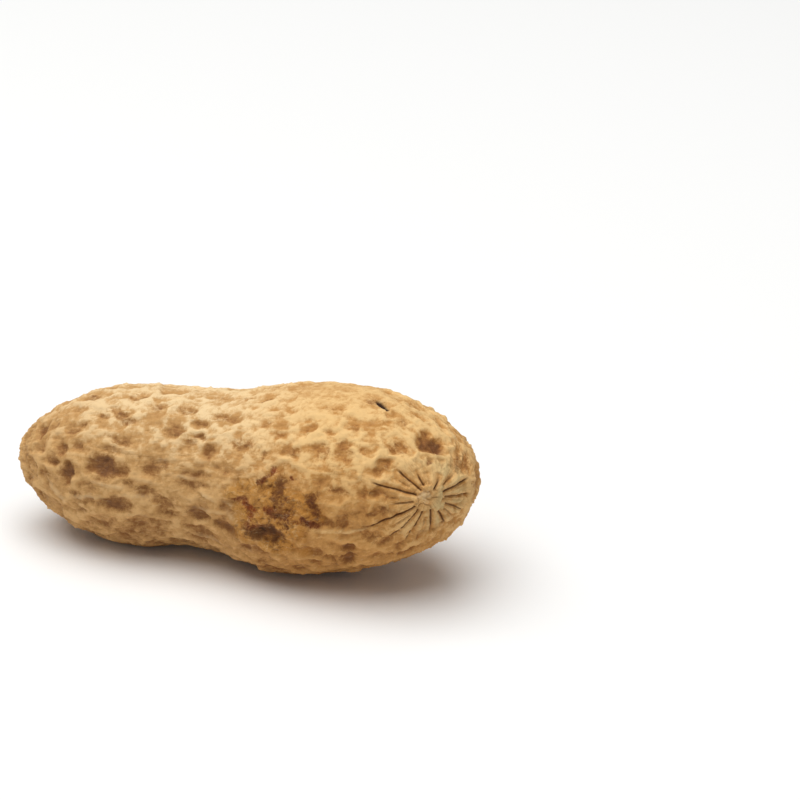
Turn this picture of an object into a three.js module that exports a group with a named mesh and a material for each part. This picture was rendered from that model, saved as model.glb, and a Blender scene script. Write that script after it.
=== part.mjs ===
// A two-seeded peanut in its shell, lying on its side as it rests on a table.
// Millimetres, +Z up. +X runs along the nut from its beak to its stem end; the stem scar is turned towards -Y.
// The origin is on the table, under the middle of the nut. The shell grew in one piece, so it is one mesh.
import * as THREE from "three";
import { mergeVertices } from "three/addons/utils/BufferGeometryUtils.js";

// Upright slices of the shell from the beak to the stem scar. The bearing is the way that a slice faces, in
// degrees from +X: the last slices fan round, so that the end is a dome with the scar on its near side.
const slices = [
  { centre: [-21.0, 0.4, 7.5], bearing: 0, halfWidth: 0, halfHeight: 0 },
  { centre: [-20.6, 0.4, 7.4], bearing: 0, halfWidth: 1.7, halfHeight: 1.6 },
  { centre: [-18.5, 0.4, 7.1], bearing: 0, halfWidth: 3.9, halfHeight: 3.8 },
  { centre: [-14.3, 0.5, 6.9], bearing: 0, halfWidth: 6.4, halfHeight: 6.4 },
  { centre: [-9.1, 0.6, 7.05], bearing: 0, halfWidth: 7.2, halfHeight: 7.1 },
  { centre: [-3.7, 0.6, 7.6], bearing: 0, halfWidth: 6.9, halfHeight: 6.9 },
  { centre: [1.5, 0.3, 7.8], bearing: 0, halfWidth: 7.9, halfHeight: 7.8 },
  { centre: [6.7, 0.0, 8.25], bearing: 0, halfWidth: 8.4, halfHeight: 8.3 },
  { centre: [11.6, -0.4, 9.0], bearing: -4, halfWidth: 8.1, halfHeight: 7.7 },
  { centre: [15.5, -1.2, 9.4], bearing: -14, halfWidth: 7.1, halfHeight: 6.4 },
  { centre: [18.0, -2.9, 9.7], bearing: -26, halfWidth: 5.5, halfHeight: 4.3 },
  { centre: [19.0, -4.9, 10.4], bearing: -39, halfWidth: 3.2, halfHeight: 2.2 },
  { centre: [18.6, -6.0, 10.9], bearing: -46, halfWidth: 1.5, halfHeight: 1.1 },
  { centre: [18.1, -6.6, 11.1], bearing: -50, halfWidth: 0, halfHeight: 0 },
];

// The net of veins, and the hollows that it encloses
const files = 14; // lines of hollows round the shell
const pitch = 3.2; // from one hollow to the next along its line
const stray = 0.4; // how far a hollow lies from its even place, as a share of the spacing
const hollowDepth = 0.7;
const veinHalfWidth = 0.15;
const hollowSlope = 0.95; // from the crown of a vein down to the floor of a hollow

// The star of grooves round the stem scar
const starGrooves = 12;
const scarRadius = 0.9;
const starRadius = 4.4;
const starDepth = 0.25;

// The two flat spots under the lobes, where the nut rests
const pressed = 0.14; // how far the nut is let down into the table before its underside is cut level
const plainHeight = 0.3; // up to this height the shell has no hollows
const fullHeight = 1.6; // from this height the hollows are full

const meshColumns = 72;
const meshRows = 76;

const { smoothstep, clamp, degToRad } = THREE.MathUtils;
const curveThrough = (points) => new THREE.CatmullRomCurve3(points, false, "catmullrom", 0.5);
const middles = curveThrough(slices.map((s) => new THREE.Vector3(...s.centre)));
const sizes = curveThrough(
  slices.map((s) => new THREE.Vector3(s.halfWidth, s.halfHeight, degToRad(s.bearing))),
);

// The smooth shell. Share runs from 0 at the beak to 1 at the scar; turn is the angle round a slice, from its
// far side over the top.
function smoothPoint(share, turn) {
  const { x: halfWidth, y: halfHeight, z: bearing } = sizes.getPoint(share);
  const across = halfWidth * Math.cos(turn);
  const offset = new THREE.Vector3(
    -Math.sin(bearing) * across,
    Math.cos(bearing) * across,
    halfHeight * Math.sin(turn),
  );
  return middles.getPoint(share).add(offset);
}

// How far a line over the top of the shell has run, at each step of its way from the beak to the scar
const walkSteps = 400;
const walked = [0];
for (let step = 1; step <= walkSteps; step++) {
  const from = smoothPoint((step - 1) / walkSteps, Math.PI / 2);
  const to = smoothPoint(step / walkSteps, Math.PI / 2);
  walked.push(walked[step - 1] + from.distanceTo(to));
}
const walkAt = (share) => walked[Math.round(share * walkSteps)];

// A repeatable number from 0 to 1 for each pair of whole numbers
function scatter(i, j) {
  const n = Math.sin(i * 127.1 + j * 311.7) * 43758.5453;
  return n - Math.floor(n);
}

// The hollows, in staggered lines from end to end
const hollows = [];
for (let file = 0; file < files; file++) {
  for (let k = -1; k * pitch < walked[walkSteps]; k++) {
    const early = file % 2 ? 0.25 : 0.75;
    hollows.push({
      walk: (k + early + 2 * stray * (scatter(file, k) - 0.5)) * pitch,
      turn: ((file + stray * (scatter(file, k + 50) - 0.5)) / files) * 2 * Math.PI,
      depth: hollowDepth * (0.5 + 0.5 * scatter(file, k + 100)),
    });
  }
}

// Depth of the hollows below the crowns of the veins. A vein runs wherever two hollows are equally near.
function netDepth(walk, turn, radius) {
  let nearest = { gap: Infinity };
  let second = { gap: Infinity };
  for (const hollow of hollows) {
    const apart = Math.atan2(Math.sin(turn - hollow.turn), Math.cos(turn - hollow.turn));
    const found = { gap: Math.hypot(walk - hollow.walk, radius * apart), depth: hollow.depth };
    if (found.gap < nearest.gap) {
      second = nearest;
      nearest = found;
    } else if (found.gap < second.gap) {
      second = found;
    }
  }
  const fromVein = (second.gap - nearest.gap) / 2;
  return nearest.depth * smoothstep(fromVein, veinHalfWidth, veinHalfWidth + hollowSlope);
}

// Depth of the grooves that run out from the scar
function grooveDepth(fromScar, turn) {
  const groove = Math.max(0, Math.cos(starGrooves * turn));
  const begins = smoothstep(fromScar, scarRadius, 2 * scarRadius);
  const ends = 1 - smoothstep(fromScar, starRadius / 2, starRadius);
  return starDepth * groove * begins * ends;
}

// A sphere whose poles become the beak and the scar, with each of its points moved to its place on the shell
function shellGeometry() {
  const sphere = new THREE.SphereGeometry(1, meshColumns, meshRows);
  sphere.deleteAttribute("normal");
  sphere.deleteAttribute("uv");
  const geometry = mergeVertices(sphere, 1e-4);
  const position = geometry.getAttribute("position");
  const scar = smoothPoint(1, 0);
  const onSphere = new THREE.Vector3();
  for (let i = 0; i < position.count; i++) {
    onSphere.fromBufferAttribute(position, i);
    const share = Math.acos(clamp(onSphere.y, -1, 1)) / Math.PI;
    const turn = Math.atan2(onSphere.z, onSphere.x);
    const point = smoothPoint(share, turn);
    const inward = middles.getPoint(share).sub(point);
    const radius = inward.length();
    const fromScar = point.distanceTo(scar);
    const hollowShare =
      smoothstep(point.z, plainHeight, fullHeight) * smoothstep(fromScar, starRadius / 2, starRadius);
    const depth = hollowShare * netDepth(walkAt(share), turn, radius) + grooveDepth(fromScar, turn);
    point.addScaledVector(inward.normalize(), Math.min(depth, radius / 2));
    position.setXYZ(i, point.x, point.y, Math.max(point.z - pressed, 0));
  }
  geometry.computeVertexNormals();
  return geometry;
}

const husk = new THREE.MeshStandardMaterial({ color: 0xc79a62, roughness: 0.85, metalness: 0 });
const shell = new THREE.Mesh(shellGeometry(), husk);
shell.name = "peanut_shell";

const peanut = new THREE.Group();
peanut.name = "peanut";
peanut.add(shell);

export default peanut;
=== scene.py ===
import math

import bpy
import numpy as np
from mathutils import Matrix, Vector, kdtree, noise


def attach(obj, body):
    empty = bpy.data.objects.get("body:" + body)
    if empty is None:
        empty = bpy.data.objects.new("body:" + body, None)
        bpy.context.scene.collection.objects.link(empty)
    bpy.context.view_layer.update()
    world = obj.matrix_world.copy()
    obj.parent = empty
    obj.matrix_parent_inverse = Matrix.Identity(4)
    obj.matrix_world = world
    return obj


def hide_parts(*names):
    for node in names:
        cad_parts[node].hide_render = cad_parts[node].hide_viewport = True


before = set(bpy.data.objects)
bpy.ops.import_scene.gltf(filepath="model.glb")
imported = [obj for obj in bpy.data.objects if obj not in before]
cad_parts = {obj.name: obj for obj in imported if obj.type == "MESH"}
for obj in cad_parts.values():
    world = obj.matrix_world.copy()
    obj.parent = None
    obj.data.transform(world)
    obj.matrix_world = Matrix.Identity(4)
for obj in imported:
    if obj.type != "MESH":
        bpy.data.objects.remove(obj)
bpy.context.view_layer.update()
mm = 0.001
print("frame loaded")

stage = {
    "azimuth": 18, "elevation": 25,          # degrees, the way the camera looks at the nut
    "distance": 290, "aim": (0.3, 0.1, 7.86),  # mm, the camera stands off from this spot
    "panRight": 2.57, "panUp": 1.22,         # degrees, leaves the nut left of and below the middle
    "lens": 150, "sensorWidth": 36,          # mm
    "clipStart": 10,
    "skySize": 700, "skyPlace": (-80, -50, 600),
    "skyPower": 4.7,                         # watts
    "roomLight": 0.28, "roomLook": 0.85,
    "floorSize": 1000, "floorColour": (0.9, 0.9, 0.89, 1), "floorRoughness": 0.9,
}


def standOff():
    turn = math.radians(stage["azimuth"])
    lift = math.radians(stage["elevation"])
    back = Vector((math.sin(turn) * math.cos(lift), -math.cos(turn) * math.cos(lift), math.sin(lift)))
    right = Vector((math.cos(turn), math.sin(turn), 0))
    return right, back.cross(right), back


def setCamera():
    right, up, back = standOff()
    bpy.ops.object.camera_add()
    camera = bpy.context.object
    camera.name = "nutCamera"
    camera.data.lens = stage["lens"]
    camera.data.sensor_width = stage["sensorWidth"]
    camera.data.clip_start = stage["clipStart"] * mm
    look = Matrix((right, up, back)).transposed()
    panRight = Matrix.Rotation(math.radians(-stage["panRight"]), 3, "Y")
    panUp = Matrix.Rotation(math.radians(stage["panUp"]), 3, "X")
    place = Vector(stage["aim"]) * mm + back * stage["distance"] * mm
    camera.matrix_world = Matrix.Translation(place) @ (look @ panRight @ panUp).to_4x4()
    bpy.context.scene.camera = camera


def hangSky():
    place = Vector(stage["skyPlace"]) * mm
    bpy.ops.object.light_add(type="AREA", location=place)
    sky = bpy.context.object
    sky.name = "softSky"
    sky.data.size = stage["skySize"] * mm
    sky.data.energy = stage["skyPower"]
    sky.rotation_euler = (-place).to_track_quat("-Z", "Y").to_euler()


def paintRoom():
    # the room looks pale but gives little light
    world = bpy.data.worlds.new("paleRoom")
    world.use_nodes = True
    nodes = world.node_tree.nodes
    links = world.node_tree.links
    lit = nodes["Background"]
    seen = nodes.new("ShaderNodeBackground")
    for wall, strength in ((lit, stage["roomLight"]), (seen, stage["roomLook"])):
        wall.inputs["Color"].default_value = (1, 1, 1, 1)
        wall.inputs["Strength"].default_value = strength
    path = nodes.new("ShaderNodeLightPath")
    either = nodes.new("ShaderNodeMixShader")
    links.new(path.outputs["Is Camera Ray"], either.inputs[0])
    links.new(lit.outputs[0], either.inputs[1])
    links.new(seen.outputs[0], either.inputs[2])
    links.new(either.outputs[0], nodes["World Output"].inputs["Surface"])
    bpy.context.scene.world = world
    bpy.context.scene.view_settings.view_transform = "Standard"


def layFloor():
    bpy.ops.object.select_all(action="DESELECT")
    bpy.ops.mesh.primitive_plane_add(size=stage["floorSize"] * mm, location=(0, 0, 0))
    floor = bpy.context.object
    floor.name = "paleFloor"
    paper = bpy.data.materials.new("palePaper")
    paper.use_nodes = True
    shader = paper.node_tree.nodes["Principled BSDF"]
    shader.inputs["Base Color"].default_value = stage["floorColour"]
    shader.inputs["Roughness"].default_value = stage["floorRoughness"]
    floor.data.materials.append(paper)


setCamera()
hangSky()
paintRoom()
layFloor()
print("stage set")

# The shell, with lengths in mm and turns in degrees. A turn runs round the nut: 0 is its far side, 90 its top
# and 180 its near side. An angle runs round the scar from its right, seen from outside. An edge is where a
# feature begins to fade and where it is gone, as shares of its oval.
nut = {
    "segments": 20, "rows": 19, "levels": 4,  # the ball that is drawn out, and how often it is smoothed
    "ballRadius": 10,
    "pressed": 0.14,                          # how far the nut is let down before its underside is level
    "slices": [                               # middle x, y, z, bearing, half width, half height
        (-20.9, 0.4, 6.65, 0, 0, 0),          # beak
        (-20.5, 0.4, 6.7, 0, 1.9, 1.9),
        (-18.5, 0.4, 6.85, 0, 4.0, 4.0),
        (-14.3, 0.5, 6.9, 0, 6.4, 6.4),
        (-9.1, 0.6, 7.05, 0, 7.2, 7.1),
        (-3.7, 0.6, 7.6, 0, 6.9, 6.9),        # waist
        (1.5, 0.3, 7.8, 0, 7.9, 7.8),
        (6.7, 0.0, 8.25, 0, 8.4, 8.3),
        (11.6, -0.4, 9.0, -4, 8.1, 7.7),
        (15.5, -1.2, 9.4, -14, 7.1, 6.4),
        (18.0, -2.9, 9.7, -26, 5.5, 4.3),
        (19.0, -4.9, 10.4, -39, 3.2, 2.2),
        (18.6, -6.0, 10.9, -46, 1.5, 1.1),
        (18.1, -6.6, 11.1, -50, 0, 0),        # stem scar
    ],

    # the net of veins
    "files": 14, "pitch": 3.2, "stray": 0.4,  # the even net of the unmarked sides, as in the CAD shell
    "clearance": 2.0,                         # from a placed hollow to an even one
    "stretch": 0.8,                           # cells are longer along the nut
    "placedCell": 0.5, "scarCell": 0.4, "evenCell": (0.55, 1.0),  # shares of the net's depth
    "netDepth": 0.26, "veinWidth": 0.07, "netSlope": 0.4,
    "meshScale": 0.62, "meshDepth": 0.1, "meshSlope": (0.04, 0.34),  # a smaller net inside the cells
    "netOnCrust": 0.4,                        # the share of the net's depth that shows under the crust
    "hollowDepth": 0.24, "hollowEdge": (0.5, 1.2), "scarHollowEdge": (0.45, 1.3), "scarHollowShare": 0.4,
    "hollows": [  # x mm, turn from the far side over the top, half length, half width, tilt down, how dark
        (-14.8, 168, 0.8, 0.8, 20, 0.95), (-11.1, 158, 1.4, 0.9, 10, 0.95), (-9.6, 186, 1.2, 0.7, 0, 0.75),
        (-13.2, 196, 0.75, 0.3, 25, 0.6), (-13.0, 187, 1.1, 0.4, 8, 0.5), (-6.9, 175, 1.0, 0.4, 0, 0.55),
        (-6.3, 156, 1.1, 0.45, -10, 0.6), (-9.4, 161, 0.7, 0.5, 0, 0.45), (-10.4, 146, 1.1, 0.3, 0, 0.35),
        (-13.6, 146, 0.5, 0.35, 15, 0.6), (-15.3, 149, 0.6, 0.45, -20, 0.6),
        (-16.4, 157, 0.65, 0.3, 30, 0.55), (-18.4, 124, 0.6, 0.4, 20, 0.65), (-14.2, 97, 0.8, 0.25, 5, 0.5),
        (-9.4, 124, 0.6, 0.35, 15, 0.55), (-10.3, 118, 0.6, 0.3, 15, 0.45), (-11.3, 115, 0.6, 0.4, 0, 0.3),
        (-7.2, 107, 0.7, 0.3, 0, 0.45), (-4.6, 112, 0.7, 0.4, 10, 0.4), (-5.3, 131, 0.85, 0.35, 0, 0.6),
        (-2.7, 93, 1.0, 0.25, 0, 0.35), (-1.0, 118, 1.5, 0.3, 6, 0.45), (-3.1, 124, 0.8, 0.4, 0, 0.4),
        (-2.8, 134, 0.7, 0.2, 0, 0.5), (-1.6, 142, 0.55, 0.4, 0, 0.45), (1.2, 138, 1.2, 0.35, 0, 0.45),
        (-3.8, 139, 0.4, 0.25, 0, 0.45), (-5.5, 181, 1.4, 0.4, 5, 0.5), (-2.4, 190, 1.1, 0.55, 12, 0.75),
        (0.2, 196, 1.1, 0.4, 12, 0.75), (-8.0, 201, 1.0, 0.3, 8, 0.4), (-5.7, 201, 0.8, 0.3, 0, 0.4),
        (-5.5, 189, 0.6, 0.3, 0, 0.35), (-8.8, 170, 0.8, 0.3, 0, 0.4), (-2.6, 169, 1.0, 0.2, 0, 0.45),
        (-16.6, 175, 0.6, 0.3, 50, 0.35), (-14.3, 128, 1.2, 0.25, -8, 0.4),
        (-10.0, 138, 1.4, 0.25, 8, 0.45), (-14.6, 113, 0.6, 0.2, 0, 0.3), (-9.6, 98, 1.0, 0.35, 0, 0.35),
        (-12.0, 121, 0.4, 0.2, 0, 0.4), (2.2, 99, 0.25, 0.2, 0, 0.8), (0.3, 97, 0.5, 0.2, 0, 0.35),
        (2.8, 121, 0.7, 0.25, 5, 0.4), (4.3, 132, 0.5, 0.35, 0, 0.3), (6.0, 139, 0.75, 0.35, -10, 0.4),
        (6.9, 125, 0.4, 0.5, 0, 0.25), (3.7, 143, 0.25, 0.2, 0, 0.5), (8.8, 140, 0.7, 0.7, 0, 0.35),
        (10.7, 133, 0.6, 0.2, 0, 0.4), (10.8, 139, 0.7, 0.4, 0, 0.3), (11.0, 120, 0.7, 0.2, 5, 0.35),
        (8.9, 126, 0.7, 0.15, 0, 0.3), (8.5, 107, 0.7, 0.2, 0, 0.25), (12.2, 136, 0.35, 0.3, 0, 0.3),
        (14.0, 143, 0.6, 0.55, 0, 0.45), (14.9, 125, 0.7, 0.6, 0, 0.45), (17.2, 97, 1.0, 0.65, 20, 1.0),
        (14.9, 100, 0.4, 0.4, 0, 0.35), (10.6, 163, 1.05, 0.25, 0, 0.6), (12.7, 161, 0.4, 0.3, 0, 0.4),
        (13.9, 162, 0.6, 0.2, 0, 0.45), (9.1, 180, 1.0, 0.35, 5, 0.5), (11.0, 183, 0.7, 0.25, -10, 0.5),
        (13.8, 175, 1.0, 0.2, -8, 0.5), (11.3, 205, 0.6, 0.6, 0, 0.85), (11.3, 216, 0.65, 0.7, 0, 0.85),
        (13.9, 198, 0.75, 0.4, -15, 0.4), (4.6, 193, 1.3, 0.65, 8, 1.0), (6.8, 221, 0.45, 0.25, 0, 0.6),
        (8.4, 216, 0.6, 0.25, 0, 0.35), (-17.8, 150, 0.4, 0.2, 0, 0.3), (-12.2, 207, 0.8, 0.25, 10, 0.4),
        (-2.8, 205, 1.2, 0.3, 15, 0.35), (11.6, 94, 0.5, 0.25, 20, 0.6), (14.5, 206, 0.6, 0.35, -20, 0.45),
        (8.4, 206, 0.8, 0.4, 0, 0.45), (16.2, 238, 0.9, 0.4, -20, 0.5), (9.8, 213, 0.5, 0.4, 0, 0.35),
        (14.4, 226, 0.8, 0.35, -15, 0.4), (12.8, 191, 0.6, 0.35, -10, 0.4),
    ],
    "scarHollows": [  # angle round the scar, mm from its middle, half length, half width, how dark
        (70, 2.75, 0.4, 0.4, 0.8), (-95, 4.3, 0.4, 0.25, 0.5), (-110, 5.6, 0.6, 0.3, 0.5),
        (24, 5.1, 1.8, 1.1, 0.5), (-60, 3.7, 0.4, 0.3, 0.35),
    ],

    # raised veins, and swellings of the whole shell
    "ridgeEdge": (0.2, 1.3), "bulgeEdge": (0, 1.4),
    "ridges": [  # pale raised veins: x mm, turn, half length, half width, tilt down, height mm
        (10.8, 189, 3.6, 0.22, -5, 0.2), (-1.2, 174, 1.2, 0.25, 15, 0.15), (0.9, 186, 1.3, 0.28, 35, 0.16),
        (-6.8, 166, 1.8, 0.3, 0, 0.1), (-3.0, 178, 1.5, 0.2, 5, 0.1), (-15.5, 187, 2.0, 0.35, 30, 0.14),
        (12.6, 152, 1.6, 0.3, 5, 0.1), (-7.5, 193, 1.6, 0.25, 0, 0.08), (15.8, 158, 1.0, 0.2, 0, 0.08),
        (13.2, 98, 0.6, 0.4, 48, 0.12), (18.4, 84, 1.6, 0.25, -60, 0.12),
        (-12.5, 185, 2.4, 0.28, -14, 0.14), (-8.0, 179, 2.2, 0.25, -3, 0.13),
        (-1.0, 185, 2.5, 0.25, -7, 0.13), (0.9, 178, 1.6, 0.22, 18, 0.13), (-10.3, 172, 2.5, 0.28, 3, 0.14),
        (-5.4, 152, 1.8, 0.25, -10, 0.12), (-2.4, 151, 1.4, 0.22, 5, 0.12), (-9.3, 146, 1.8, 0.22, 0, 0.1),
        (-3.7, 163, 2.0, 0.25, 0, 0.13), (-1.5, 212, 2.2, 0.3, 0, 0.11), (7.8, 210, 1.5, 0.25, 0, 0.11),
        (10.5, 171, 2.0, 0.22, 4, 0.1),
    ],
    "bulges": [  # x mm, turn, half length, half width, height mm
        (-17.5, 212, 3.0, 3.5, 0.15), (3.5, 226, 4.5, 3.5, 0.45), (-7.5, 236, 1.6, 2.0, 0.2),
        (18.6, 285, 2.5, 2.5, 0.35),
    ],
    "plump": 0.02,

    # the star of slits round the scar
    "slits": [  # angle round the scar, mm from its middle to where a slit starts and ends, strength
        (163, 1.2, 5.3, 1.0), (133, 1.0, 3.9, 0.9), (108, 1.15, 2.6, 0.9), (54, 0.75, 2.2, 0.8),
        (10, 1.3, 4.6, 0.85), (-79, 1.2, 4.4, 0.9), (-110, 1.4, 5.0, 0.9), (-129, 1.4, 5.6, 1.0),
        (-151, 1.4, 6.1, 0.95), (-172, 1.4, 3.6, 0.6), (-30, 1.8, 5.0, 0.7), (-10, 1.5, 4.8, 0.6),
        (-57, 1.7, 4.6, 0.8), (-43, 2.0, 4.2, 0.5), (30, 1.6, 3.4, 0.5), (86, 1.1, 2.2, 0.4),
        (147, 1.9, 3.6, 0.4), (-95, 1.9, 3.6, 0.4), (-139, 2.2, 4.2, 0.4), (-18, 1.3, 2.4, 0.4),
        (178, 2.6, 4.0, 0.4),
    ],
    "slitDepth": 0.24, "slitWidth": 0.22, "slitSide": (0.2, 0.35),  # a slit's mark fades this far aside
    "slitStart": (-0.12, 0.1), "slitEnd": (-0.9, 0.0),  # a slit opens and closes over these lengths
    "starReach": 4.6, "starFades": 2.6, "petalsFull": 1.5,  # from the scar
    "petalHeight": 0.14, "petalSide": (0.05, 0.6),  # from a slit
    "ribHeight": 0.06, "raySpread": 2.6, "rayPull": 0.3,  # fine ribs run out from the scar
    "discRadius": 0.55, "discShift": (0.3, 0.25, 0), "discDepth": 0.05, "discBreaks": 0.14,
    "crackDepth": 0.08, "crackReach": (0.9, 1.7),
    "ringRadius": 0.75, "ringWidth": 0.22, "ringHeight": 0.08, "ringGap": (-0.25, 0.35),

    # the crusty patch on the near side of the larger lobe
    "crustEdge": (0.4, 1.5), "spotEdge": (0.3, 1.5),
    "flakeHeight": 0.4, "flakeLevel": 0.3, "pitDepth": 0.12, "spotDepth": 0.14, "rustDepth": 0.06,
    "crust": [  # x mm, turn, half length, half width
        (4.4, 170, 2.8, 2.0), (1.9, 167, 1.8, 1.2), (4.6, 188, 2.2, 1.8), (7.2, 170, 1.8, 1.5),
        (2.8, 181, 1.6, 1.2), (6.4, 184, 2.0, 1.6), (5.6, 201, 1.8, 1.1), (2.6, 196, 1.2, 1.2),
    ],
    "crustSpots": [  # x mm, turn, half length, half width, tilt down, how red
        (2.9, 179, 1.1, 0.6, 20, 0.9), (6.0, 168, 0.8, 1.2, 0, 0.25), (8.1, 169, 0.7, 0.8, 0, 0.35),
        (6.0, 180, 1.0, 1.1, 0, 0.45), (4.4, 194, 1.5, 0.85, 6, 0.0), (4.7, 157, 0.6, 0.35, 0, 0.8),
        (3.2, 160, 0.8, 0.35, 0, 0.6), (6.6, 154, 0.3, 0.2, 0, 0.7), (1.6, 174, 0.9, 0.3, 20, 0.6),
        (8.0, 181, 0.7, 0.5, 0, 0.6), (3.4, 188, 0.7, 0.4, 0, 0.6), (5.0, 176, 0.5, 0.5, 0, 0.7),
    ],

    # the smoother top of the larger lobe, and a torn slit: x mm, turn, half length, half width, tilt down
    "plainPatch": (8.5, 88, 7.5, 5.5, 0), "plainEdge": (0.3, 1.0),
    "plainShare": 0.35,                       # how much relief is left there
    "tear": (12.5, 95, 1.0, 0.29, 44), "tearEdge": (0.5, 1.5), "tearDepth": 0.6,
    "tableRise": (0.2, 1.6),                  # relief begins and is full at these heights over the table

    # winding lines: scale per mm, seed and width
    "wrinkles": ((0.5, 0.85, 0.85), 20, 0.16), "crinkles": ((1.1, 1.7, 1.7), 21, 0.2),
    "cracks": (1.7, 28, 0.3),
    # noise in layers: scale per mm, seed and reach
    "drift": [(0.5, 1, 0.55), (1.4, 2, 0.3)],     # how far the net wanders
    "crumble": [(0.4, 5, 1.3), (1.3, 13, 0.45)],  # how far the crust's rims wander
    "swell": [(0.17, 8, 0.15)],
    "lumps": [((0.45, 0.6, 0.6), 22, 1)],
    "fibres": [((0.22, 1.1, 1.1), 9, 1), ((0.45, 2.4, 2.4), 10, 0.5)],
    "grit": [(1.9, 11, 1), (3.6, 12, 0.5)],
    "slitWobble": [(1.0, 3, 0.07)],
    "discEdge": [(1.5, 24, 0.4)],
    "discFlakes": [(3.0, 27, 1)],
    "ringGaps": [(2.0, 26, 1)],
    "ribs": [(2.0, 25, 1)],
    "flakes": [(0.9, 6, 1), (2.1, 7, 0.5)],
    "pits": [(1.6, 14, (0.25, 0.5)), (2.6, 15, (0.3, 0.5))],  # scale per mm, seed, from where to where
    # how far each stands out of the shell, and grit round the scar
    "heights": {"wrinkle": 0.1, "crinkle": 0.06, "lumps": 0.07, "fibres": 0.07, "grit": 0.055},
    "starGrit": 0.04,

    # what the finish reads: how much each darkens the shell, a hollow tint with painted shade, and where
    # painted shade falls below and painted light on top, by x or by height
    # sunken relief darkens as the hollows' own tint and as painted shade; raised relief is painted lighter
    "reliefTintAndShade": {"cell": 0.6, "mesh": 0.35, "hollow": 0.55,
               "wrinkle": -0.45, "crinkle": -0.2, "lumps": -0.6, "grit": -0.4},
    "reliefTintAndShadeLevel": 0.1,
    # painted shade below and painted light on top, by height in mm; less painted shade and more painted light
    # at the stem end, by x in mm
    "underside": (0, 8), "paintedTopLight": (8.5, 14.8),
    "lessUnderShadeAtEnd": (10, 16), "lessUnderShadeAtEndShare": 0.95,
    "paintedTipLight": (12.5, 17), "paintedTipLightRise": (3, 9), "paintedTipLightShare": 0.65,
    "paleRidge": 0.17,                        # a ridge this high is pale all over
}


def alongSlices(share):
    # a smooth curve through the slices, 0 at the beak and 1 at the scar
    knots = np.array(nut["slices"], float)
    knots = np.vstack([2 * knots[0] - knots[1], knots, 2 * knots[-1] - knots[-2]])
    reach = min(max(share, 0), 1) * (len(knots) - 3)
    first = min(int(reach), len(knots) - 4)
    t = reach - first
    a, b, c, d = knots[first:first + 4]
    slopeB = (c - a) / 2
    slopeC = (d - b) / 2
    cubed = 2 * b - 2 * c + slopeB + slopeC
    squared = 3 * c - 3 * b - 2 * slopeB - slopeC
    return cubed * t**3 + squared * t**2 + slopeB * t + b


def ringAt(row):
    # smoothing flattens a curve by a sixth of its bend, so the ring is set out by as much
    here, before, after = (alongSlices((row + step) / nut["rows"]) for step in (0, -1, 1))
    if 0 < row < nut["rows"]:
        here = here - (before - 2 * here + after) / 6
    return here


def pickVerts(piece, chosen):
    bpy.ops.object.mode_set(mode="OBJECT")
    piece.data.polygons.foreach_set("select", [False] * len(piece.data.polygons))
    piece.data.edges.foreach_set("select", [False] * len(piece.data.edges))
    piece.data.vertices.foreach_set("select", chosen)
    bpy.ops.object.mode_set(mode="EDIT")


def drawOutShell():
    radius = nut["ballRadius"]
    rows = nut["rows"]
    bpy.ops.object.select_all(action="DESELECT")
    bpy.ops.mesh.primitive_uv_sphere_add(segments=nut["segments"], ring_count=rows, radius=radius * mm,
                                         rotation=(0, math.pi / 2, 0))
    piece = bpy.context.object
    piece.name = "peanutShell"
    bpy.ops.object.transform_apply(rotation=True)

    ball = np.zeros(len(piece.data.vertices) * 3)
    piece.data.vertices.foreach_get("co", ball)
    ball = ball.reshape(-1, 3) / (radius * mm)
    place = piece.data.attributes.new("ballPlace", "FLOAT_VECTOR", "POINT")
    place.data.foreach_set("vector", ball.ravel())
    ringShare = np.arccos(np.clip(-ball[:, 0], -1, 1)) / math.pi
    # smoothing pulls a ring of this many corners in by this much
    pull = (2 + math.cos(2 * math.pi / nut["segments"])) / 3

    bpy.ops.object.mode_set(mode="EDIT")
    bpy.ops.mesh.select_mode(type="VERT")
    for row in range(rows + 1):
        share = row / rows
        x, y, z, bearing, halfWidth, halfHeight = ringAt(row)
        startX = -radius * math.cos(math.pi * share)
        startRadius = max(radius * math.sin(math.pi * share), 0.001)  # never 0, at the poles
        middle = Vector((x, y, z - nut["pressed"])) * mm
        pickVerts(piece, np.abs(ringShare - share) < 0.2 / rows)
        bpy.ops.transform.resize(value=(1, halfWidth / startRadius / pull, halfHeight / startRadius / pull),
                                 center_override=(startX * mm, 0, 0))
        bpy.ops.transform.translate(value=middle - Vector((startX * mm, 0, 0)))
        bpy.ops.transform.rotate(value=-math.radians(bearing), orient_axis="Z", center_override=middle)
    bpy.ops.object.mode_set(mode="OBJECT")

    smoothing = piece.modifiers.new("smoothing", "SUBSURF")
    smoothing.levels = smoothing.render_levels = nut["levels"]
    bpy.ops.object.modifier_apply(modifier=smoothing.name)
    bpy.ops.object.shade_smooth()
    return piece


def smoothStep(low, high, x):
    t = np.clip((x - low) / (high - low), 0, 1)
    return t * t * (3 - 2 * t)


def fade(edge, x):
    # 1 up to the edge's start, 0 from its end
    return 1 - smoothStep(*edge, x)


def scatter(i, j):
    n = math.sin(i * 127.1 + j * 311.7) * 43758.5453
    return n - math.floor(n)


def wrapped(angles):
    # the shorter way round
    return np.angle(np.exp(1j * angles))


def noiseAt(points, scale, seed):
    shift = Vector((seed * 17.3, seed * -9.1, seed * 5.7))
    scale = Vector(scale) if isinstance(scale, tuple) else Vector((scale, scale, scale))
    return np.array([noise.noise(Vector(p) * scale + shift) for p in points])


def layered(points, layers, offSeed=0):
    return sum(reach * noiseAt(points, scale, seed + offSeed) for scale, seed, reach in layers)


def driftAt(points, layers):
    # three noises that differ only in their seeds, one for each axis
    return np.stack([layered(points, layers, offSeed) for offSeed in (0.1, 0.4, 0.7)], axis=1)


def crease(points, scale, seed, width):
    # thin winding lines: 1 on a line, 0 off it
    return fade((0, width), np.abs(noiseAt(points, scale, seed)))


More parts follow.
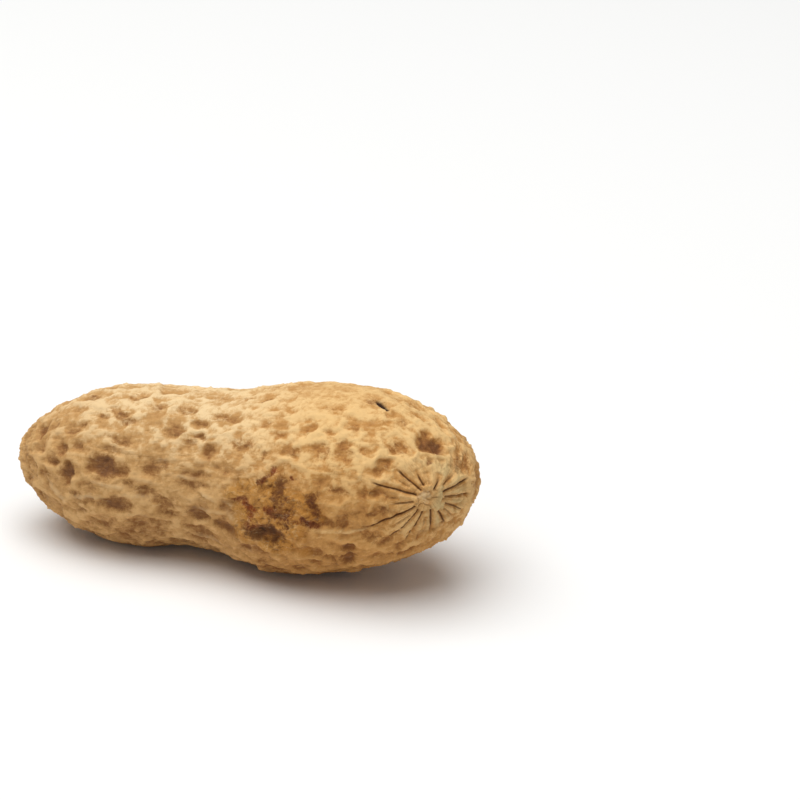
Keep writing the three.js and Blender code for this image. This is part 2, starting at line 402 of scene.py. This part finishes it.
class Skin:
    # the smoothed shell's points in mm, with where each lies on the nut
    roundness = 7  # mm, turns an angle round the nut into a length
    scarWidth = 1.2  # mm

    def __init__(self, piece):
        mesh = piece.data
        self.points = self.read(mesh.vertices, "co") / mm
        self.normals = self.read(mesh.vertex_normals, "vector")
        ball = self.read(mesh.attributes["ballPlace"].data, "vector")
        ball = ball / np.linalg.norm(ball, axis=1)[:, None]
        self.share = np.arccos(np.clip(-ball[:, 0], -1, 1)) / math.pi
        self.turn = np.arctan2(ball[:, 2], ball[:, 1])
        self.walk, self.walkLength = self.walkFromBeak()
        self.drift = driftAt(self.points, nut["drift"])
        self.drifted = self.points + self.drift

        # the scar is the last point, and the shell round it gives the way that it faces
        self.scar = self.points[np.argmax(self.share)]
        around = np.linalg.norm(self.points - self.scar, axis=1) < self.scarWidth
        facing = self.normals[around].mean(axis=0)
        facing /= np.linalg.norm(facing)
        up = np.array([0, 0, 1]) - facing[2] * facing
        up /= np.linalg.norm(up)
        right = np.cross(up, facing)
        fromScar = self.points - self.scar
        self.reach = np.linalg.norm(fromScar, axis=1)
        self.angle = np.arctan2(fromScar @ up, fromScar @ right)
        self.offScar = smoothStep(1.5, 0.8 * nut["starReach"], self.reach)

    def read(self, source, name):
        values = np.zeros(len(source) * 3)
        source.foreach_get(name, values)
        return values.reshape(-1, 3)

    def walkFromBeak(self):
        # how far along the shell's top each point is, and how long the whole way is
        shares = np.linspace(0, 1, 401)
        tops = np.array([alongSlices(share) for share in shares])
        line = tops[:, :3] + np.stack([0 * shares, 0 * shares, tops[:, 5]], axis=1)
        walked = np.concatenate([[0], np.cumsum(np.linalg.norm(np.diff(line, axis=0), axis=1))])
        return np.interp(self.share, shares, walked), walked[-1]

    def nearest(self, x, turn):
        aside = self.roundness * wrapped(self.turn - math.radians(turn))
        pastEnd = 20 * (self.share > 0.93)  # keeps off the end that has turned back
        return int(np.argmin((self.points[:, 0] - x) ** 2 + aside ** 2 + pastEnd))

    def nearestOnWalk(self, walk, turn):
        aside = self.roundness * wrapped(self.turn - turn)
        return int(np.argmin((self.walk - walk) ** 2 + aside ** 2))

    def nearestToScar(self, angle, reach):
        aside = reach * wrapped(self.angle - math.radians(angle))
        return int(np.argmin((self.reach - reach) ** 2 + aside ** 2))

    def oval(self, points, centre, halfLength, halfWidth, tilt=0, along=(1, 0, 0)):
        # 0 in the middle of an oval on the shell, 1 at its rim
        normal = self.normals[centre]
        along = np.array(along, float)
        along = along - (along @ normal) * normal
        along /= np.linalg.norm(along)
        across = np.cross(normal, along)
        lean = math.radians(tilt)
        length = along * math.cos(lean) - across * math.sin(lean)
        width = across * math.cos(lean) + along * math.sin(lean)
        offset = points - self.points[centre]
        return np.sqrt((offset @ length / halfLength) ** 2 + (offset @ width / halfWidth) ** 2
                       + (offset @ normal / 2) ** 2)


def sinkHollows(skin):
    # hollows that have their own places, each in a cell of its own
    hollow = np.zeros(len(skin.points))
    stain = np.zeros(len(skin.points))
    cells = []  # middle, depth
    for x, turn, halfLength, halfWidth, tilt, dark in nut["hollows"]:
        centre = skin.nearest(x, turn)
        rim = skin.oval(skin.drifted, centre, 1.2 * halfLength + 0.1, 1.2 * halfWidth + 0.15, tilt)
        mask = fade(nut["hollowEdge"], rim)
        # broad and dark hollows are deeper
        hollow = np.maximum(hollow, mask * (0.5 + 0.8 * min(halfWidth, 0.6)) * (0.5 + 0.8 * dark))
        stain = np.maximum(stain, mask * dark)
        cells.append((skin.points[centre], nut["placedCell"]))
    for angle, reach, halfLength, halfWidth, dark in nut["scarHollows"]:
        centre = skin.nearestToScar(angle, reach)
        outwards = skin.points[centre] - skin.scar
        rim = skin.oval(skin.drifted, centre, halfLength, halfWidth, along=outwards)
        mask = fade(nut["scarHollowEdge"], rim)
        hollow = np.maximum(hollow, mask * nut["scarHollowShare"])
        stain = np.maximum(stain, mask * dark)
        cells.append((skin.points[centre], nut["scarCell"]))
    return hollow, stain, cells


def fillWithCells(skin, cells):
    # the even net fills the rest
    placed = np.array([place for place, _ in cells])
    filled = list(cells)
    least, most = nut["evenCell"]
    for file in range(nut["files"]):
        early = 0.25 if file % 2 else 0.75
        for k in range(-1, math.ceil(skin.walkLength / nut["pitch"])):
            walk = (k + early + 2 * nut["stray"] * (scatter(file, k) - 0.5)) * nut["pitch"]
            turn = (file + nut["stray"] * (scatter(file, k + 50) - 0.5)) / nut["files"] * 2 * math.pi
            place = skin.points[skin.nearestOnWalk(walk, turn)]
            if np.linalg.norm(placed - place, axis=1).min() >= nut["clearance"]:
                filled.append((place, least + (most - least) * scatter(file, k + 100)))
    return filled


def weaveNet(skin, cells):
    # veins run where two cells are equally near: 0 on a vein, up to 1 on a floor
    stretched = skin.drifted * (nut["stretch"], 1, 1)
    tree = kdtree.KDTree(len(cells))
    for i, (place, _) in enumerate(cells):
        tree.insert(Vector(place * (nut["stretch"], 1, 1)), i)
    tree.balance()
    fromVein = np.zeros(len(stretched))
    fromSmallVein = np.zeros(len(stretched))
    depth = np.zeros(len(stretched))
    for i, point in enumerate(stretched):
        (_, first, near), (_, _, far) = tree.find_n(Vector(point), 2)
        fromVein[i] = (far - near) / 2
        depth[i] = cells[first][1]
        gaps, _ = noise.voronoi(Vector(point * nut["meshScale"]))
        fromSmallVein[i] = (gaps[1] - gaps[0]) / 2 / nut["meshScale"]
    inCell = smoothStep(nut["veinWidth"], nut["veinWidth"] + nut["netSlope"], fromVein) * depth
    return inCell, smoothStep(*nut["meshSlope"], fromSmallVein)


def raiseVeins(skin):
    lift = np.zeros(len(skin.points))
    for x, turn, halfLength, halfWidth, tilt, height in nut["ridges"]:
        rim = skin.oval(skin.points + skin.drift * 0.5, skin.nearest(x, turn), halfLength, halfWidth, tilt)
        lift = np.maximum(lift, height * fade(nut["ridgeEdge"], rim))
    bulge = np.zeros(len(skin.points))
    for x, turn, halfLength, halfWidth, height in nut["bulges"]:
        rim = skin.oval(skin.points, skin.nearest(x, turn), halfLength, halfWidth)
        bulge += height * fade(nut["bulgeEdge"], rim)
    return lift, bulge


def cutStar(skin):
    # slits, the puffed petals between them, and the disc in the middle
    points = skin.points
    farAside = 9.0
    slitAside = np.full(len(points), farAside)
    slitRun = np.zeros(len(points))
    wobble = layered(points, nut["slitWobble"])
    for angle, start, end, strength in nut["slits"]:
        apart = wrapped(skin.angle - math.radians(angle))
        run = smoothStep(*nut["slitStart"], skin.reach - start) * fade(nut["slitEnd"], skin.reach - end)
        aside = np.where((run > 0.01) & (np.abs(apart) < 1), skin.reach * np.sin(apart) + wobble, farAside)
        closer = np.abs(aside) < np.abs(slitAside)
        slitAside[closer] = aside[closer]
        slitRun[closer] = (strength * run)[closer]
    toSlit = np.abs(slitAside)
    slitRun = slitRun * fade(nut["slitSide"], toSlit)
    slit = slitRun * fade((0.05, nut["slitWidth"]), toSlit)

    radius = nut["discRadius"]
    fromDisc = np.linalg.norm(points - skin.scar + np.array(nut["discShift"]), axis=1)
    disc = fade((0.7 * radius, 1.3 * radius), fromDisc + layered(points, nut["discEdge"]))
    onStar = smoothStep(radius, nut["petalsFull"], fromDisc)
    onStar *= fade((nut["starFades"], nut["starReach"]), skin.reach)
    petal = smoothStep(*nut["petalSide"], toSlit) * onStar
    # the petals on the right are the palest
    pale = 0.3 + 0.7 * smoothStep(-0.3, 0.7, np.cos(skin.angle + 0.3))
    spread = nut["raySpread"]
    rays = np.stack([spread * np.cos(skin.angle), spread * np.sin(skin.angle),
                     nut["rayPull"] * skin.reach], axis=1)
    rib = layered(rays, nut["ribs"]) * (1 - skin.offScar) * (1 - disc)
    crack = crease(points, *nut["cracks"]) * fade(nut["crackReach"], fromDisc)
    ring = np.exp(-((fromDisc - nut["ringRadius"]) / nut["ringWidth"]) ** 2)
    ring *= smoothStep(*nut["ringGap"], layered(points, nut["ringGaps"]))

    inward = nut["slitDepth"] * slit - nut["petalHeight"] * petal - nut["ribHeight"] * rib * (1 - slit)
    inward += nut["discDepth"] * disc - nut["discBreaks"] * disc * layered(points, nut["discFlakes"])
    inward += nut["crackDepth"] * crack - nut["ringHeight"] * ring
    masks = {"slitAside": slitAside, "slitRun": slitRun, "petalTint": petal * pale, "discTint": disc,
             "crackTint": crack}
    return inward, masks, rays


def growCrust(skin):
    points = skin.points
    crumbled = points + driftAt(points, nut["crumble"])
    crust = np.zeros(len(points))
    spot = np.zeros(len(points))
    rust = np.zeros(len(points))
    for x, turn, halfLength, halfWidth in nut["crust"]:
        rim = skin.oval(crumbled, skin.nearest(x, turn), halfLength, halfWidth)
        crust = np.maximum(crust, fade(nut["crustEdge"], rim))
    for x, turn, halfLength, halfWidth, tilt, reddish in nut["crustSpots"]:
        rim = skin.oval(crumbled, skin.nearest(x, turn), halfLength, halfWidth, tilt)
        mask = fade(nut["spotEdge"], rim)
        rust = np.maximum(rust, mask * reddish)
        spot = np.maximum(spot, mask * (1 - reddish))
    flakes = sum(reach * np.abs(noiseAt(points, scale, seed)) for scale, seed, reach in nut["flakes"])
    pits = sum(smoothStep(*edge, noiseAt(points, scale, seed)) for scale, seed, edge in nut["pits"])
    inward = crust * (nut["pitDepth"] * pits - nut["flakeHeight"] * (flakes - nut["flakeLevel"]))
    inward += nut["spotDepth"] * spot + nut["rustDepth"] * rust
    masks = {"crustStain": crust, "crustSpot": spot, "crustRust": rust,
             "pitStain": crust * np.clip(pits, 0, 1)}
    return inward, masks


def patchAt(skin, name, wander=0.0):
    x, turn, *size = nut[name]
    return skin.oval(skin.points + skin.drift * wander, skin.nearest(x, turn), *size)


def carve(piece):
    skin = Skin(piece)
    points = skin.points
    x, _, z = points.T
    hollow, stain, cells = sinkHollows(skin)
    inCell, inMesh = weaveNet(skin, fillWithCells(skin, cells))
    print("net woven")
    lift, bulge = raiseVeins(skin)
    starInward, starMasks, rays = cutStar(skin)
    crustInward, crustMasks = growCrust(skin)
    tear = fade(nut["tearEdge"], patchAt(skin, "tear", wander=0.15))
    plain = fade(nut["plainEdge"], patchAt(skin, "plainPatch"))
    print("star and crust shaped")

    radius = 7.5  # about the nut's own
    grain = np.stack([skin.walk, radius * np.cos(skin.turn), radius * np.sin(skin.turn)], axis=1)
    relief = {
        "cell": inCell,
        "mesh": inMesh,
        "hollow": hollow,
        "wrinkle": crease(skin.drifted, *nut["wrinkles"]),
        "crinkle": crease(skin.drifted, *nut["crinkles"]),
        "lumps": layered(skin.drifted, nut["lumps"]),
        "fibres": layered(grain, nut["fibres"]),
        "grit": layered(points, nut["grit"]),
    }
    rugged = (1 - (1 - nut["plainShare"]) * plain) * skin.offScar
    netShare = 1 - (1 - nut["netOnCrust"]) * crustMasks["crustStain"]

    sunk = nut["netDepth"] * inCell * netShare + nut["meshDepth"] * inMesh + nut["hollowDepth"] * hollow
    raised = sum(height * relief[name] for name, height in nut["heights"].items())
    inward = rugged * (sunk - raised) - lift * skin.offScar
    inward += starInward + crustInward + nut["tearDepth"] * tear
    inward *= smoothStep(*nut["tableRise"], z)
    inward -= layered(points, nut["swell"]) + bulge + nut["plump"]
    inward -= nut["starGrit"] * (1 - skin.offScar) * relief["grit"]
    carved = points - skin.normals * inward[:, None]
    carved[:, 2] = np.maximum(carved[:, 2], 0)  # nothing lies below the table
    piece.data.vertices.foreach_set("co", (carved * mm).ravel())

    # painted light on top and painted shade below; the stem end gets painted light low down too, and less
    # painted shade below
    # the hollows' own tint with painted shade in the relief, and raised relief painted lighter
    tintedAndShaded = sum(share * relief[name] for name, share in nut["reliefTintAndShade"].items()) - nut["reliefTintAndShadeLevel"]
    paintedTipLight = nut["paintedTipLightShare"] * smoothStep(*nut["paintedTipLight"], x) * smoothStep(*nut["paintedTipLightRise"], z)
    masks = {
        "hollowTintAndShade": tintedAndShaded * rugged,
        "hollowStain": stain,
        # painted shade in the tear's opening
        "tearOpeningShade": tear,
        "liftPale": (lift / nut["paleRidge"]) ** 2,
        # painted shade: darker towards the underside, less of it at the stem end
        "underside": fade(nut["underside"], z) * (1 - nut["lessUnderShadeAtEndShare"] * smoothStep(*nut["lessUnderShadeAtEnd"], x)),
        # painted light: paler on top and low on the stem end
        "paintedTopLight": np.maximum(smoothStep(*nut["paintedTopLight"], z), paintedTipLight),
    }
    masks.update(crustMasks)
    masks.update(starMasks)
    masks["petalTint"] = masks["petalTint"] * (1 - stain)
    for name, values in masks.items():
        layer = piece.data.attributes.new(name, "FLOAT", "POINT")
        layer.data.foreach_set("value", values)
    for name, values in {"grain": grain, "rays": rays}.items():
        layer = piece.data.attributes.new(name, "FLOAT_VECTOR", "POINT")
        layer.data.foreach_set("vector", values.ravel())
    piece.data.attributes.remove(piece.data.attributes["ballPlace"])
    piece.data.update()


shell = drawOutShell()
print("shell drawn out:", len(shell.data.vertices), "points")
carve(shell)
print("relief carved")

# The finish of the dry shell
husk = {
    "cream": "#f3d4a2", "straw": "#dbae73", "tan": "#ca9b60", "brown": "#926232", "umber": "#5f3516",
    "plum": "#68422b", "gold": "#cb9140", "honey": "#f8e6c2", "rust": "#86380f", "soot": "#361e0e",
    "petal": "#d2ba84", "slit": "#5e3a1a",
    "mottles": {  # scale per mm, detail, roughness, warp
        "patches": (0.2, 2.0, 0.6, 0.0), "blotches": (0.75, 4.0, 0.65, 0.8), "fine": (2.3, 5.0, 0.75, 0.5),
        "specks": (2.6, 4.0, 0.75, 0.0), "flaky": (1.4, 5.0, 0.75, 0.6), "streaks": (1.3, 4.0, 0.65, 0.0),
        "hairs": (5.0, 3.0, 0.7, 0.0), "radial": (3.0, 4.0, 0.7, 0.0),
    },
    "drawnOut": (0.22, 1.0, 1.0),             # streaks and hairs are long along the nut
    "coats": {  # colour, where it begins, where it is full, its share there
        "tanMottleAndShade": ("tan", -0.75, 0.15, 1.0),
        "sunken": ("brown", -0.1, 1.7, 1.0),
        "deepest": ("umber", 1.0, 2.6, 0.5),
        "stain": ("brown", 0.05, 0.8, 0.8),
        "stainHeart": ("plum", 0.45, 1.2, 0.75),
        "crust": ("gold", 0.1, 0.9, 0.7),
        "crustPale": ("cream", 0.5, 0.68, 0.45),
        "crustDark": ("umber", 0.42, 0.75, 0.6),
        "rusty": ("rust", 0.0, 0.8, 0.9),
        "charred": ("umber", -0.1, 0.7, 0.8),
        "sooty": ("soot", 0.6, 1.3, 0.75),
        "pitted": ("umber", 0.35, 0.6, 0.7),
        "golden": ("honey", -4.0, 9.0, 0.75),  # mm along the nut: the larger lobe is more golden
        "petalLines": ("brown", 0.5, 0.7, 0.5),
        "disc": ("cream", 0.4, 0.6, 0.8),
        "torn": ("soot", 0.2, 0.7, 1.0),
        "speck": ("umber", 0.64, 0.8, 0.4),
        "hair": ("cream", 0.55, 0.75, 0.2),
    },
    "crackShare": 0.45, "slitShare": 0.92,
    "bumpStrength": 0.5, "bumpHeight": 0.3,   # mm
    "gloss": 0.3,
}


def paint(name):
    code = husk[name]
    channels = [int(code[i:i + 2], 16) / 255 for i in (1, 3, 5)]
    linear = [c / 12.92 if c <= 0.04045 else ((c + 0.055) / 1.055) ** 2.4 for c in channels]
    return (*linear, 1)


class Thread:
    # a shader socket that can be used in sums
    def __init__(self, tree, socket=None):
        self.tree = tree
        self.socket = socket

    def make(self, kind, settings, sockets, out=0):
        node = self.tree.nodes.new(kind)
        for name, value in settings.items():
            setattr(node, name, value)
        for name, value in sockets.items():
            if isinstance(value, Thread):
                self.tree.links.new(value.socket, node.inputs[name])
            else:
                node.inputs[name].default_value = value
        return Thread(self.tree, node.outputs[out])

    def sum(self, operation, *values):
        return self.make("ShaderNodeMath", {"operation": operation}, dict(enumerate(values)))

    def __add__(self, other):
        return self.sum("ADD", self, other)

    def __sub__(self, other):
        return self.sum("SUBTRACT", self, other)

    def __rsub__(self, other):
        return self.sum("SUBTRACT", other, self)

    def __mul__(self, other):
        return self.sum("MULTIPLY", self, other)

    __radd__ = __add__
    __rmul__ = __mul__

    def size(self):
        return self.sum("ABSOLUTE", self)

    def over(self, low, high):
        # 0 below low, 1 above high, smooth between
        return self.make("ShaderNodeMapRange", {"interpolation_type": "SMOOTHSTEP", "clamp": True},
                         {"Value": self, "From Min": low, "From Max": high, "To Min": 0.0, "To Max": 1.0})

    def mixed(self, colour, share, blend="MIX"):
        return self.make("ShaderNodeMix", {"data_type": "RGBA", "blend_type": blend, "clamp_factor": True},
                         {0: share, 6: self, 7: colour}, out=2)

    def coated(self, name, amount, within=1.0, blend="MIX"):
        colour, begins, full, share = husk["coats"][name]
        return self.mixed(paint(colour), amount.over(begins, full) * (within * share), blend)


def makeHusk():
    material = bpy.data.materials.new("husk")
    material.use_nodes = True
    tree = material.node_tree
    shader = tree.nodes["Principled BSDF"]
    start = Thread(tree)

    def mask(name, out="Fac"):
        return start.make("ShaderNodeAttribute", {"attribute_name": name}, {}, out)

    def mottle(name, vector):
        scale, detail, rough, warp = husk["mottles"][name]
        return start.make("ShaderNodeTexNoise", {"noise_dimensions": "3D"},
                          {"Vector": vector, "Scale": scale, "Detail": detail, "Roughness": rough,
                           "Distortion": warp}, out="Fac")

    place = start.make("ShaderNodeTexCoord", {}, {}, out="Object")
    inMillimetres = start.make("ShaderNodeVectorMath", {"operation": "SCALE"}, {0: place, "Scale": 1 / mm})
    alongGrain = start.make("ShaderNodeVectorMath", {"operation": "MULTIPLY"},
                            {0: mask("grain", "Vector"), 1: husk["drawnOut"]})
    fromBeak = start.make("ShaderNodeSeparateXYZ", {}, {"Vector": inMillimetres}, out="X")

    patches = mottle("patches", inMillimetres)
    blotches = mottle("blotches", inMillimetres)
    fine = mottle("fine", inMillimetres)
    specks = mottle("specks", inMillimetres)
    flaky = mottle("flaky", inMillimetres)
    streaks = mottle("streaks", alongGrain)
    hairs = mottle("hairs", alongGrain)
    radial = mottle("radial", mask("rays", "Vector"))

    # the husk: paler on top as painted light and pale on its veins; brown in its hollows as tint and painted
    # shade, and darker below as painted shade
    paintedTopLight = mask("paintedTopLight")
    uneven = (blotches - 0.5) * 0.9 + (fine - 0.5) * 1.9 + (streaks - 0.5) * 1.1 + (patches - 0.5) * 0.5
    # mottling, the hollows' tint with painted shade, painted shade below, less under the painted light on top
    low = (mask("hollowTintAndShade") + uneven) * (1.4 - 0.5 * paintedTopLight) + mask("underside") * 0.4 - paintedTopLight * 0.45
    # painted light: cream on top, straw below
    colour = start.make("ShaderNodeMix", {"data_type": "RGBA"},
                        {0: paintedTopLight, 6: paint("straw"), 7: paint("cream")}, out=2)
    # tan, brown and umber follow the mottling and the painted shade, partly the hollows' own tint
    colour = colour.coated("tanMottleAndShade", low)
    colour = colour.coated("sunken", low, within=0.55 + 0.8 * fine)
    colour = colour.coated("deepest", low + hairs - 0.5)
    hollow = mask("hollowStain")
    stained = hollow + uneven * 0.8 * hollow.over(0.0, 0.3)
    colour = colour.coated("stain", stained)
    colour = colour.coated("stainHeart", stained)
    ridge = mask("liftPale") * (0.3 + 0.7 * fine.over(0.35, 0.6))
    colour = colour.mixed(paint("cream"), ridge * 0.65)

    # the crust and its spots
    crust = mask("crustStain")
    rust = mask("crustRust")
    spot = mask("crustSpot")
    ragged = (flaky - 0.5) * 1.2 + (fine - 0.5) * 1.6
    charred = spot + ragged * spot.over(0.0, 0.2)
    colour = colour.coated("crust", crust + ragged * crust.over(0.0, 0.2))
    colour = colour.coated("crustPale", fine - (flaky - 0.5) * 0.6, within=crust)
    colour = colour.coated("crustDark", flaky + (fine - 0.5) * 0.5, within=crust)
    colour = colour.coated("rusty", rust + ragged * rust.over(0.0, 0.2))
    colour = colour.coated("charred", charred)
    colour = colour.coated("sooty", charred)
    colour = colour.coated("pitted", fine, within=mask("pitStain"))
    colour = colour.coated("golden", fromBeak, blend="MULTIPLY")

    # the star, the tear, and dark specks and pale hairs all over
    petal = mask("petalTint")
    line = mask("slitRun").over(0.05, 0.9) * (1 - mask("slitAside").size().over(0.045, 0.12))
    colour = colour.mixed(paint("petal"), petal * (radial + 0.2))
    colour = colour.coated("petalLines", radial, within=petal.over(0.0, 0.3))
    colour = colour.coated("disc", fine, within=mask("discTint"))
    colour = colour.mixed(paint("brown"), mask("crackTint") * husk["crackShare"])
    colour = colour.mixed(paint("slit"), line * husk["slitShare"])
    # painted shade: the tear's opening is painted near black
    colour = colour.coated("torn", mask("tearOpeningShade"))
    colour = colour.coated("speck", specks)
    colour = colour.coated("hair", hairs)

    bumps = hairs * 0.5 + specks * 0.6 + fine * 0.8 + streaks * 0.4
    normal = start.make("ShaderNodeBump", {}, {"Height": bumps, "Strength": husk["bumpStrength"],
                                               "Distance": husk["bumpHeight"] * mm})
    rough = 0.72 + blotches * 0.2
    tree.links.new(colour.socket, shader.inputs["Base Color"])
    tree.links.new(rough.socket, shader.inputs["Roughness"])
    tree.links.new(normal.socket, shader.inputs["Normal"])
    shader.inputs["Specular IOR Level"].default_value = husk["gloss"]
    return material


shell.data.materials.append(makeHusk())
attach(shell, "root")
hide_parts("peanut_shell")
print("husk made")
